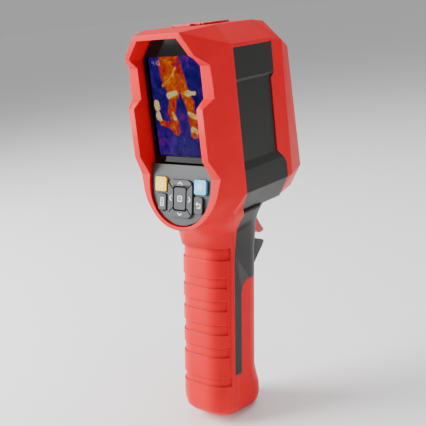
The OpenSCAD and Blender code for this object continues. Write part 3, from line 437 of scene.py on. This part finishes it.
def make_materials(context):
    """Every finish, by the name of its material slot. Grain and relief are real sizes in millimetres."""
    finish = context.scene.thermal_finish
    display = context.scene.thermal_display
    middle = picture_middle()
    size = (display.width, display.height)
    edge, small = finish.edge_radius, finish.small_edge
    shell, dark = finish.shell_grain, finish.frame_grain
    return {
        # Satin moulded ABS: an even colour with a broad soft shine. Its grain is drawn coarser than the
        # real 0.1 mm, so that it shows.
        "red_cover": moulded("satin_red_abs", finish.shell_colour, 0.4, shell, 0.02 * MM, edge, 0.05,
                             specular=0.12, edge_highlight=0.22),
        # Nylon from a spark-eroded mould: nearly black, with a dry, broken shine.
        "dark_frame": moulded("grained_black_nylon", finish.frame_colour, 0.5, dark, 0.04 * MM, edge, 0.1,
                              specular=0.4),
        # Grained ABS: a shade darker than the nylon, and a finer relief.
        "side_cover": moulded("grained_black_abs", "#1a1918", 0.5, dark, 0.03 * MM, small, 0.08,
                              specular=0.4),
        # Polished ABS: deep black with a clear reflection.
        "front_plate": moulded("gloss_black_abs", "#141517", 0.22, 3 * MM, 0.01 * MM, small, 0.04, coat=0.4),
        # Printed acrylic: clear over the picture, with a black border behind a thin gloss.
        "window_pane": window_glass("printed_window_pane", middle, size),
        # Open-cell foam: matt and pitted.
        "gasket_foam": moulded("black_foam", "#1b1b1c", 0.9, 0.3 * MM, 0.1 * MM, small, 0.15),
        # Pressed sheet metal: grey with a blurred reflection.
        "display": moulded("lcd_metal_back", "#5b5e66", 0.35, 1 * MM, 0.01 * MM, small, 0.05, metallic=0.8),
        # Polyimide film: amber and shiny.
        "flex_tail": moulded("polyimide_film", "#c0812a", 0.3, 2 * MM, 0.01 * MM, small, 0.08, coat=0.5),
        # Grained ABS plate: dark blue-grey, dry shine.
        "keypad_plate": moulded("grained_grey_plate", "#2f3234", 0.5, dark, 0.03 * MM, small, 0.05),
        # Silicone rubber with a silk coat: matt, with a pale bloom at glancing light.
        "key_grey": moulded("silk_grey_silicone", "#37393b", 0.6, 0.4 * MM, 0.02 * MM, small * 2, 0.05,
                            sheen=0.1),
        # The same silicone, pigmented yellow.
        "key_yellow": moulded("silk_yellow_silicone", finish.yellow_colour, 0.6, 0.4 * MM, 0.02 * MM,
                              small * 2, 0.03, sheen=0.1),
        # The same silicone, pigmented pale blue.
        "key_blue": moulded("silk_blue_silicone", finish.blue_colour, 0.6, 0.4 * MM, 0.02 * MM, small * 2,
                            0.03, sheen=0.1),
        # Uncoated silicone: matt black.
        "key_mat": moulded("black_silicone", "#202224", 0.7, 0.5 * MM, 0.02 * MM, small, 0.08),
        # Glass-epoxy laminate: green, with paler tracks under its mask.
        "circuit_board": laminate("green_solder_mask", "#16552c", "#2a7a45"),
        # Rolled and tinned steel sheet: pale grey with lines along the roll.
        "tinned_steel": drawn_metal("tinned_sheet_steel", "#b9bcc0", 0.3, (1, 1, 30), small),
        # Zinc-plated steel: greyer, with a turned head's lines.
        "zinc_screw": drawn_metal("zinc_plated_steel", "#9a9da1", 0.32, (30, 1, 1), small),
        # Stamped stainless sheet: bright, with lines across the socket.
        "port_steel": drawn_metal("stamped_stainless", "#a9adb1", 0.28, (1, 30, 1), small),
        # Moulded polycarbonate: black, smooth and shiny.
        "card_case": moulded("gloss_card_case", "#17181a", 0.3, 2 * MM, 0.01 * MM, small, 0.05),
        # Moulded rubber: softer shine than the shells, with a faint bloom.
        "cover_rubber": moulded("red_rubber", finish.trim_colour, 0.55, 0.4 * MM, 0.03 * MM, edge, 0.04,
                                sheen=0.1),
        # Blasted aluminium: even grey with no clear reflection.
        "core_case": drawn_metal("blasted_aluminium", "#7d8186", 0.5, (1, 1, 1), small),
        # Black anodised aluminium: dark, with a metal's soft highlight.
        "barrel_black": moulded("black_anodised_aluminium", "#202124", 0.35, 0.6 * MM, 0.01 * MM, small,
                                0.05, metallic=0.6),
        # Grey anodised aluminium: a step brighter than the barrel.
        "ring_grey": moulded("grey_anodised_aluminium", "#45484c", 0.35, 0.6 * MM, 0.01 * MM, small, 0.05,
                             metallic=0.8),
        # Coated germanium: opaque, dark violet and mirror-like.
        "germanium": moulded("coated_germanium", "#3a3550", 0.08, 10 * MM, 0.001 * MM, small, 0.1,
                             metallic=1.0),
        # Moulded polycarbonate: black and plain.
        "camera_black": moulded("black_polycarbonate", "#26282b", 0.5, 0.5 * MM, 0.02 * MM, small, 0.05),
        # Coated optical glass: clear, with a violet cast.
        "camera_glass": clear_glass("coated_camera_glass", "#56606e", "#b7a6ff"),
        # Phosphor on ceramic: matt yellow.
        "led_ceramic": moulded("led_phosphor_ceramic", "#e8dc9a", 0.6, 0.3 * MM, 0.02 * MM, small, 0.05),
        # Moulded acrylic lens: colourless.
        "lamp_clear": clear_glass("clear_lamp_optic", "#eef3f6", "#ffffff"),
        # Polished ABS: the shells' red with a sharper shine.
        "trigger_red": moulded("satin_red_trigger", finish.trim_colour, 0.34, 0.6 * MM, 0.01 * MM,
                               small * 2, 0.04, coat=0.1),
        # Ground steel: bright, with fine lines round the pin.
        "pin_steel": drawn_metal("ground_steel", "#b4b7bb", 0.2, (1, 30, 30), small),
        # Drawn spring wire: grey, with lines along the wire.
        "spring_steel": drawn_metal("drawn_spring_wire", "#a0a3a7", 0.3, (1, 20, 20), small),
        # Moulded nylon: black, half shiny.
        "switch_black": moulded("switch_nylon", "#17181a", 0.45, 0.6 * MM, 0.02 * MM, small, 0.05),
        # Heat-shrunk PVC: blue and glossy.
        "cell_sleeve": moulded("shrink_sleeve", "#2f6db5", 0.28, 2 * MM, 0.02 * MM, small, 0.04, coat=0.4),
        # Moulded nylon: dark grey and dry.
        "holder_black": moulded("holder_nylon", "#2b2d30", 0.5, 0.5 * MM, 0.02 * MM, small, 0.05),
        # Gold-plated spring strip: warm and bright.
        "contact_gold": drawn_metal("gold_plated_spring", "#d2aa55", 0.22, (1, 1, 20), small),
        # Turned brass: yellow, ridged at the pitch of a 1/4 inch, 20 thread.
        "insert_brass": drawn_metal("turned_brass", "#b08d4a", 0.3, (1, 1, 25), small, pitch=1.27 * MM),
        # Screen-printed ink: flat white.
        "ink": moulded("white_key_ink", "#f1f2f2", 0.5, 0.5 * MM, 0.01 * MM, small, 0.02),
        # The lit picture: it glows and reflects nothing.
        "picture": thermal_picture("heat_picture", middle, size, display.glow),
        # Lit numerals: plain white.
        "readout": moulded("lit_readout", "#ffffff", 0.5, 1 * MM, 0.01 * MM, small, 0.02),
    }


# ---------- pieces ----------

def only(obj):
    """Leaves one object selected and active."""
    if bpy.context.object and bpy.context.object.mode != "OBJECT":
        bpy.ops.object.mode_set(mode="OBJECT")
    bpy.ops.object.select_all(action="DESELECT")
    obj.select_set(True)
    bpy.context.view_layer.objects.active = obj


def dress(obj, slot):
    """Gives an object the finish of a material slot."""
    obj.data.materials.clear()
    obj.data.materials.append(MATERIALS[slot])


def body_name(node):
    """The CAD body that a node belongs to."""
    return FRAME["nodes"][node]["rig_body"]


# Corners nearer than this are one corner, and faces that lean less than this are one face.
WELD = 0.002 * MM
FLAT = radians(0.3)


def skin(node, angle):
    """A welded, smooth-shaded copy of a CAD node that stands for it."""
    only(FRAME["nodes"][node])
    bpy.ops.object.duplicate()
    copy = bpy.context.object
    copy.name = node + "_skin"
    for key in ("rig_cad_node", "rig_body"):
        if key in copy:
            del copy[key]
    bpy.ops.object.parent_clear(type="CLEAR_KEEP_TRANSFORM")
    bpy.ops.object.mode_set(mode="EDIT")
    bpy.ops.mesh.select_all(action="SELECT")
    bpy.ops.mesh.remove_doubles(threshold=WELD)
    bpy.ops.mesh.dissolve_limited(angle_limit=FLAT)
    bpy.ops.mesh.normals_make_consistent(inside=False)
    bpy.ops.object.mode_set(mode="OBJECT")
    bpy.ops.object.shade_smooth_by_angle(angle=angle)
    dress(copy, SLOTS[node])
    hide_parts(node)
    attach(copy, body_name(node))


def skins(nodes, angle):
    """Skins for a group of CAD nodes."""
    for node in nodes:
        skin(node, angle)


def settle(obj, slot, body, name):
    """Applies an object's transform, dresses it and makes it ride on a body."""
    only(obj)
    obj.name = name
    bpy.ops.object.transform_apply(location=True, rotation=True, scale=True)
    dress(obj, slot)
    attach(obj, body)
    return obj


def bar(centre, size, turn, matrix):
    """One thin rectangular stroke, placed in a surface's own axes."""
    bpy.ops.object.select_all(action="DESELECT")
    bpy.ops.mesh.primitive_cube_add(size=1.0)
    stroke = bpy.context.object
    stroke.scale = size
    bpy.ops.object.transform_apply(location=False, rotation=False, scale=True)
    stroke.matrix_world = matrix @ Matrix.Translation(centre) @ Matrix.Rotation(turn, 4, "Z")
    bpy.ops.object.transform_apply(location=True, rotation=True, scale=True)
    return stroke


def join(pieces):
    """Joins pieces into the first of them."""
    only(pieces[0])
    for piece in pieces:
        piece.select_set(True)
    if len(pieces) > 1:
        bpy.ops.object.join()
    return bpy.context.object


# Middle of each key on the plate, in millimetres across and up from the centre key.
KEY_SPOTS = {"key_yellow": (-15.3, 7.6), "key_blue": (15.3, 7.6), "key_menu": (-14.1, -2.8),
             "key_back": (14.1, -2.8), "key_set": (0, 0), "key_up": (0, 9.05), "key_down": (0, -9.05),
             "key_left": (-7.4, 0), "key_right": (7.4, 0)}


# Strokes printed on each key: middle across and up, length in millimetres, and turn in degrees.
KEY_MARKS = {
    "up": [(-0.75, 0.0, 2.3, 42), (0.75, 0.0, 2.3, -42)],
    "down": [(-0.75, 0.0, 2.3, -42), (0.75, 0.0, 2.3, 42)],
    "left": [(0.0, 0.75, 2.3, 48), (0.0, -0.75, 2.3, -48)],
    "right": [(0.0, 0.75, 2.3, -48), (0.0, -0.75, 2.3, 48)],
    "menu": [(0, 2.3, 2.2, 0), (0, -2.3, 2.2, 0), (-1.1, 0, 5.1, 90), (1.1, 0, 5.1, 90), (0, 0.9, 1.0, 0),
             (0, -0.9, 1.0, 0)],
    "back": [(0.2, 0.9, 2.8, 0), (0.3, -1.3, 2.2, 0), (1.5, -0.2, 2.4, 90), (-0.9, 1.4, 1.4, 45),
             (-0.9, 0.4, 1.4, -45)],
    "yellow": [(0, 1.5, 3.0, 0), (0, -1.5, 3.0, 0), (-1.3, 0, 3.0, 90), (1.3, 0, 3.0, 90)],
    "blue": [(0, 1.5, 2.2, 0), (0, -1.5, 2.2, 0), (-1.3, 0, 3.0, 90), (1.3, 0, 3.0, 90), (0, 0, 2.2, 0)],
    "set": [(0, 1.4, 3.4, 0), (0, -1.4, 3.4, 0), (-1.5, 0, 3.3, 90), (1.5, 0, 3.3, 90), (0, 0, 1.0, 0)],
}


def key_face(node):
    """The frame of a key's top face: X across, Y up the plate, Z out of it."""
    pad = bpy.context.scene.thermal_keypad
    x, y = KEY_SPOTS[node]
    plate = Matrix.Translation(pad.middle) @ Matrix.Rotation(pi / 2 - pad.tilt, 4, "X")
    return plate @ Matrix.Translation((x * MM, y * MM, pad.key_rise))


def strokes(node, name, lines):
    """Prints strokes on a key; each line is (x, y, length, turn in degrees), in millimetres."""
    pad = bpy.context.scene.thermal_keypad
    face = key_face(node)
    bars = [bar(Vector((x * MM, y * MM, pad.ink / 2)), (length * MM, pad.stroke, pad.ink), radians(turn), face)
            for x, y, length, turn in lines]
    mark = settle(join(bars), "ink", body_name(node), name)


class THERMAL_OT_shells(bpy.types.Operator):
    """Finish the coloured shells, the dark frame and the side panels"""

    bl_idname = "thermal.shells"
    bl_label = "Shells"
    bl_options = {"REGISTER", "UNDO"}

    def execute(self, context):
        angle = context.scene.thermal_finish.smooth_angle
        skins(["rear_shell", "front_grip", "frame_left", "frame_right"], angle)
        skins(["top_band", "front_rim", "front_panel", "side_panel_left", "side_panel_right"], radians(12))
        return {"FINISHED"}


# Thickness of the picture's sheet and of its numerals.
FILM = 0.02 * MM
# Seven-segment strokes: middle across and up, in half widths and half heights, and turn in degrees.
SEGMENTS = {"a": (0, 1, 0), "b": (0.5, 0.5, 90), "c": (0.5, -0.5, 90), "d": (0, -1, 0),
            "e": (-0.5, -0.5, 90), "f": (-0.5, 0.5, 90), "g": (0, 0, 0)}
# The readout's digits as lit segments, and how far each stands to the right in millimetres.
DIGITS = [("bcfg", 0.0), ("bc", 2.1), ("acdefg", 4.9)]


class THERMAL_OT_display(bpy.types.Operator):
    """Finish the window, the display and its picture"""

    bl_idname = "thermal.display"
    bl_label = "Display"
    bl_options = {"REGISTER", "UNDO"}

    def execute(self, context):
        skins(["display_window", "display_gasket", "display_module", "display_ribbon"], radians(20))
        display = context.scene.thermal_display
        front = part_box("display_module")[0].y
        middle = picture_middle()
        bpy.ops.object.select_all(action="DESELECT")
        bpy.ops.mesh.primitive_grid_add(x_subdivisions=8, y_subdivisions=10, size=1.0)
        sheet = context.object
        sheet.scale = (display.width, display.height, 1.0)
        sheet.rotation_euler = (pi / 2, 0, 0)
        sheet.location = (0, front - FILM, middle)
        bpy.ops.object.transform_apply(location=True, rotation=True, scale=True)
        bpy.ops.object.mode_set(mode="EDIT")
        bpy.ops.mesh.select_all(action="SELECT")
        bpy.ops.mesh.extrude_region_move(TRANSFORM_OT_translate={"value": (0, -FILM, 0)})
        bpy.ops.mesh.select_all(action="SELECT")
        bpy.ops.mesh.normals_make_consistent(inside=False)
        bpy.ops.object.mode_set(mode="OBJECT")
        settle(sheet, "picture", "body", "display_picture")
        self.readout(front - 4 * FILM, middle, display)
        return {"FINISHED"}

    def readout(self, y, middle, display):
        """Numbers in the corner of the picture, from seven-segment strokes."""
        face = Matrix.Translation((0, y, middle)) @ Matrix.Rotation(pi / 2, 4, "X")
        start = Vector((-display.width / 2 + 3.2 * MM, display.height / 2 - 3.4 * MM, 0))
        bars = []
        for lit, offset in DIGITS:
            for key in lit:
                sx, sy, turn = SEGMENTS[key]
                spot = start + Vector(((offset + sx * 1.3) * MM, sy * 1.2 * MM, 0))
                bars.append(bar(spot, (1.25 * MM, 0.32 * MM, FILM), radians(turn), face))
        bars.append(bar(start + Vector((3.6 * MM, -1.2 * MM, 0)), (0.4 * MM, 0.4 * MM, FILM), 0, face))
        settle(join(bars), "readout", "body", "display_readout")


class THERMAL_OT_keypad(bpy.types.Operator):
    """Finish the keypad and print the marks on its keys"""

    bl_idname = "thermal.keypad"
    bl_label = "Keypad"
    bl_options = {"REGISTER", "UNDO"}

    def execute(self, context):
        skins(["keypad_bezel", "key_mat", "key_board"], radians(20))
        skins(list(KEY_SPOTS), radians(30))
        for key, lines in KEY_MARKS.items():
            strokes("key_" + key, "mark_" + key, lines)
        return {"FINISHED"}


class THERMAL_OT_inside(bpy.types.Operator):
    """Finish the boards, ports, battery and other inner pieces"""

    bl_idname = "thermal.inside"
    bl_label = "Inner pieces"
    bl_options = {"REGISTER", "UNDO"}

    def execute(self, context):
        skins(["main_board", "shield_can", "board_screws", "usb_port", "card_slot", "memory_card",
               "thermal_core", "camera_module", "lamp_led", "trigger_switch", "battery_cell",
               "battery_holder", "battery_contacts", "case_screws"], radians(30))
        return {"FINISHED"}


class THERMAL_OT_ports(bpy.types.Operator):
    """Finish the rubber port cover and its anchor"""

    bl_idname = "thermal.ports"
    bl_label = "Port cover"
    bl_options = {"REGISTER", "UNDO"}

    def execute(self, context):
        skins(["port_cover", "cover_anchor"], radians(20))
        return {"FINISHED"}


class THERMAL_OT_optics(bpy.types.Operator):
    """Finish the lens barrel, the lenses and the windows"""

    bl_idname = "thermal.optics"
    bl_label = "Optics"
    bl_options = {"REGISTER", "UNDO"}

    def execute(self, context):
        skins(["lens_barrel", "lens_ring", "germanium_lens", "camera_window", "lamp_lens", "tripod_insert"],
              radians(28))
        return {"FINISHED"}


class THERMAL_OT_trigger(bpy.types.Operator):
    """Finish the trigger, its pin and its coil spring"""

    bl_idname = "thermal.trigger"
    bl_label = "Trigger"
    bl_options = {"REGISTER", "UNDO"}

    def execute(self, context):
        skins(["trigger", "trigger_pin", "trigger_spring"], radians(30))
        return {"FINISHED"}


# ---------- stage ----------

# The point that the lights are aimed at, near the middle of the object.
AIM = (0, 0.02, 0.13)
# Soft boxes: name, place and size in metres, and power in watts.
LIGHTS = [("key_light", (-0.75, -0.55, 0.6), (0.6, 0.9), 32.0),
          ("top_light", (0.0, 0.3, 1.0), (0.9, 0.9), 7.0),
          ("fill_light", (0.95, -0.15, 0.45), (0.5, 0.8), 2.0)]
FLOOR_GAP = 0.1 * MM


def soft_box(name, place, size, power):
    """A white soft box that points at the object."""
    lamp = bpy.data.lights.new(name, "AREA")
    lamp.shape = "RECTANGLE"
    lamp.size = size[0]
    lamp.size_y = size[1]
    lamp.energy = power
    obj = bpy.data.objects.new(name, lamp)
    bpy.context.scene.collection.objects.link(obj)
    obj.location = place
    obj.rotation_euler = (Vector(AIM) - Vector(place)).to_track_quat("-Z", "Y").to_euler()


class THERMAL_OT_stage(bpy.types.Operator):
    """Set the camera, the floor and the lights"""

    bl_idname = "thermal.stage"
    bl_label = "Stage"
    bl_options = {"REGISTER", "UNDO"}

    def execute(self, context):
        stage = context.scene.thermal_stage
        a, t, r = stage.azimuth, stage.pitch, stage.roll
        level = Vector((-sin(a), cos(a), 0))
        right = Vector((cos(a), sin(a), 0))
        forward = level * cos(t) - Vector((0, 0, sin(t)))
        up = level * sin(t) + Vector((0, 0, cos(t)))
        side = right * cos(r) - up * sin(r)
        top = right * sin(r) + up * cos(r)
        data = bpy.data.cameras.new("camera")
        data.sensor_width = 36.0
        data.lens = stage.lens
        data.shift_y = stage.shift
        data.clip_start = 0.01
        camera = bpy.data.objects.new("camera", data)
        context.scene.collection.objects.link(camera)
        turn = Matrix((side, top, -forward)).transposed().to_4x4()
        camera.matrix_world = Matrix.Translation(Vector(stage.place)) @ turn
        context.scene.camera = camera

        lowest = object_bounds()[0][2]
        bpy.ops.object.select_all(action="DESELECT")
        bpy.ops.mesh.primitive_plane_add(size=stage.floor_size, location=(0, 0, lowest - FLOOR_GAP))
        floor = context.object
        floor.name = "studio_floor"
        # Matt paper: pale, with a faint fibre, and a little light of its own to lift its shadows.
        material, tree = new_tree("pale_paper_sweep")
        place = add(tree, "TexCoord").outputs["Object"]
        fibre = add(tree, "TexNoise", {"Vector": place, "Scale": 400.0, "Detail": 3.0})
        bump = add(tree, "Bump", {"Height": fibre.outputs["Fac"], "Strength": 0.1, "Distance": 0.2 * MM})
        paper = add(tree, "BsdfPrincipled", {
            "Base Color": colour("#f4f4f3"), "Roughness": 0.9, "Normal": bump.outputs["Normal"],
            "Emission Color": colour("#ffffff"), "Emission Strength": 0.05})
        finish_tree(tree, paper.outputs["BSDF"])
        floor.data.materials.append(material)
        floor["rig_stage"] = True

        world = bpy.data.worlds.new("studio")
        world.use_nodes = True
        sky = world.node_tree.nodes["Background"]
        sky.inputs["Color"].default_value = (1.0, 1.0, 1.0, 1.0)
        sky.inputs["Strength"].default_value = stage.daylight
        context.scene.world = world
        for name, place, size, power in LIGHTS:
            soft_box(name, place, size, power)
        return {"FINISHED"}


class THERMAL_PT_panel(bpy.types.Panel):
    """Sidebar panel with the sizes and the building steps"""

    bl_idname = "THERMAL_PT_panel"
    bl_label = "Thermal Camera"
    bl_space_type = "VIEW_3D"
    bl_region_type = "UI"
    bl_category = "Thermal Camera"

    def draw(self, context):
        layout = self.layout
        scene = context.scene
        for group in (scene.thermal_finish, scene.thermal_display, scene.thermal_keypad, scene.thermal_stage):
            box = layout.box()
            for key in group.bl_rna.properties.keys():
                if key not in ("rna_type", "name"):
                    box.prop(group, key)
        for operator in STEPS:
            layout.operator(operator.bl_idname)


STEPS = (THERMAL_OT_shells, THERMAL_OT_display, THERMAL_OT_keypad, THERMAL_OT_inside, THERMAL_OT_ports,
         THERMAL_OT_optics, THERMAL_OT_trigger, THERMAL_OT_stage)
GROUPS = {"thermal_finish": ThermalFinishSettings, "thermal_display": ThermalDisplaySettings,
          "thermal_keypad": ThermalKeypadSettings, "thermal_stage": ThermalStageSettings}


def register():
    for name, group in GROUPS.items():
        bpy.utils.register_class(group)
        setattr(bpy.types.Scene, name, bpy.props.PointerProperty(type=group))
    for cls in STEPS + (THERMAL_PT_panel,):
        bpy.utils.register_class(cls)


def unregister():
    for cls in reversed(STEPS + (THERMAL_PT_panel,)):
        bpy.utils.unregister_class(cls)
    for name, group in GROUPS.items():
        delattr(bpy.types.Scene, name)
        bpy.utils.unregister_class(group)


def main():
    """Builds the scene."""
    register()
    MATERIALS.update(make_materials(bpy.context))
    for step in STEPS:
        group, name = step.bl_idname.split(".")
        getattr(getattr(bpy.ops, group), name)()


if __name__ == "__main__":
    main()
